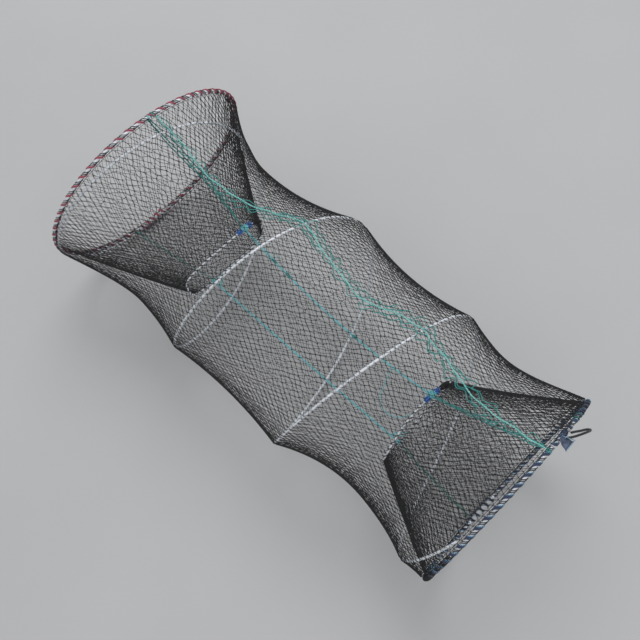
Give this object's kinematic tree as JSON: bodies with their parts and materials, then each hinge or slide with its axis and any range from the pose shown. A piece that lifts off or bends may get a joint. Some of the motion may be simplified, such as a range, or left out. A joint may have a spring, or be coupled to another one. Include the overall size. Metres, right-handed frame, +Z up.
{
  "type": "folding crab trap",
  "caption": "Cylindrical folding crab trap: netting over a wire coil and end hoops, with a net funnel into a flat throat at each end; it folds flat along its length.",
  "frame": {"origin": "on the floor under the middle of the standing trap", "axes": "+X along the trap from the far hoop (red lacing) to the near hoop (blue lacing), +Z up"},
  "size_m": [0.6401, 0.3008, 0.2972],
  "materials": {
    "coated_wire": "semi-gloss pale coating on steel wire",
    "sleeve_plastic": "matte pale grey heat-shrunk sleeve",
    "black_netting": "knotted twine netting",
    "red_twine": "twisted twine",
    "blue_twine": "twisted twine",
    "teal_twine": "twisted twine",
    "cobalt_twine": "knotted twine",
    "black_cord": "braided cord"
  },
  "bodies": {
    "far_half": {"coil_spring": "coated_wire", "body_net_1": "black_netting", "far_funnel_net": "black_netting", "far_upper_funnel_seam": "teal_twine", "far_lower_funnel_seam": "teal_twine", "upper_tension_cord": "teal_twine", "lower_tension_cord": "teal_twine", "net_seam_cord": "teal_twine", "slack_twine": "teal_twine"},
    "far_hoop": {"far_hoop": "coated_wire", "far_hoop_sleeve": "sleeve_plastic", "far_hoop_lacing": "red_twine"},
    "far_throat": {"far_throat_wire": "coated_wire", "far_upper_knot": "cobalt_twine", "far_lower_knot": "cobalt_twine"},
    "middle_net_far": {"body_net_2": "black_netting"},
    "middle_net_near": {"body_net_3": "black_netting"},
    "near_throat": {"near_throat_wire": "coated_wire", "near_upper_knot": "cobalt_twine", "near_lower_knot": "cobalt_twine"},
    "near_half": {"body_net_4": "black_netting", "near_funnel_net": "black_netting", "near_upper_funnel_seam": "teal_twine", "near_lower_funnel_seam": "teal_twine"},
    "near_hoop": {"near_hoop": "coated_wire", "near_hoop_sleeve": "sleeve_plastic", "near_hoop_lacing": "blue_twine", "tie_loop_knot": "blue_twine", "tie_loop": "black_cord"}
  },
  "joints": [
    {"name": "fold", "type": "slide", "parent": "far_half", "child": "near_half", "axis": [-1, 0, 0], "range_m": [0, 0.545], "stiffness_N_per_m": 45, "springref_m": -0.05, "deforming": ["coil_spring", "body_net_1", "body_net_2", "body_net_3", "body_net_4", "far_funnel_net", "near_funnel_net", "upper_tension_cord", "lower_tension_cord", "net_seam_cord", "far_upper_funnel_seam", "far_lower_funnel_seam", "near_upper_funnel_seam", "near_lower_funnel_seam", "slack_twine"]},
    {"name": "far_hoop_lean", "type": "hinge", "parent": "far_half", "child": "far_hoop", "pos_m": [-0.30705, -0.00209, 0.006], "axis": [0, 0.9336, -0.3583], "range_deg": [-9.5, 0]},
    {"name": "near_hoop_lean", "type": "hinge", "parent": "near_half", "child": "near_hoop", "pos_m": [0.2945, 0.01191, 0.006], "axis": [0, 0.9769, 0.2135], "range_deg": [-3.4, 0]},
    {"name": "far_throat_slide", "type": "slide", "parent": "far_half", "child": "far_throat", "axis": [-1, 0, 0], "range_m": [0, 0.16]},
    {"name": "middle_net_far_slide", "type": "slide", "parent": "far_half", "child": "middle_net_far", "axis": [-1, 0, 0], "range_m": [0, 0.23]},
    {"name": "middle_net_near_slide", "type": "slide", "parent": "far_half", "child": "middle_net_near", "axis": [-1, 0, 0], "range_m": [0, 0.36]},
    {"name": "near_throat_slide", "type": "slide", "parent": "far_half", "child": "near_throat", "axis": [-1, 0, 0], "range_m": [0, 0.45]}
  ],
  "couplings": [
    {"joint": "far_hoop_lean", "follows": "fold", "rad_per_m": -0.30152},
    {"joint": "near_hoop_lean", "follows": "fold", "rad_per_m": -0.1049},
    {"joint": "far_throat_slide", "follows": "fold", "ratio": 0.27767},
    {"joint": "middle_net_far_slide", "follows": "fold", "ratio": 0.40255},
    {"joint": "middle_net_near_slide", "follows": "fold", "ratio": 0.6465},
    {"joint": "near_throat_slide", "follows": "fold", "ratio": 0.80131}
  ]
}
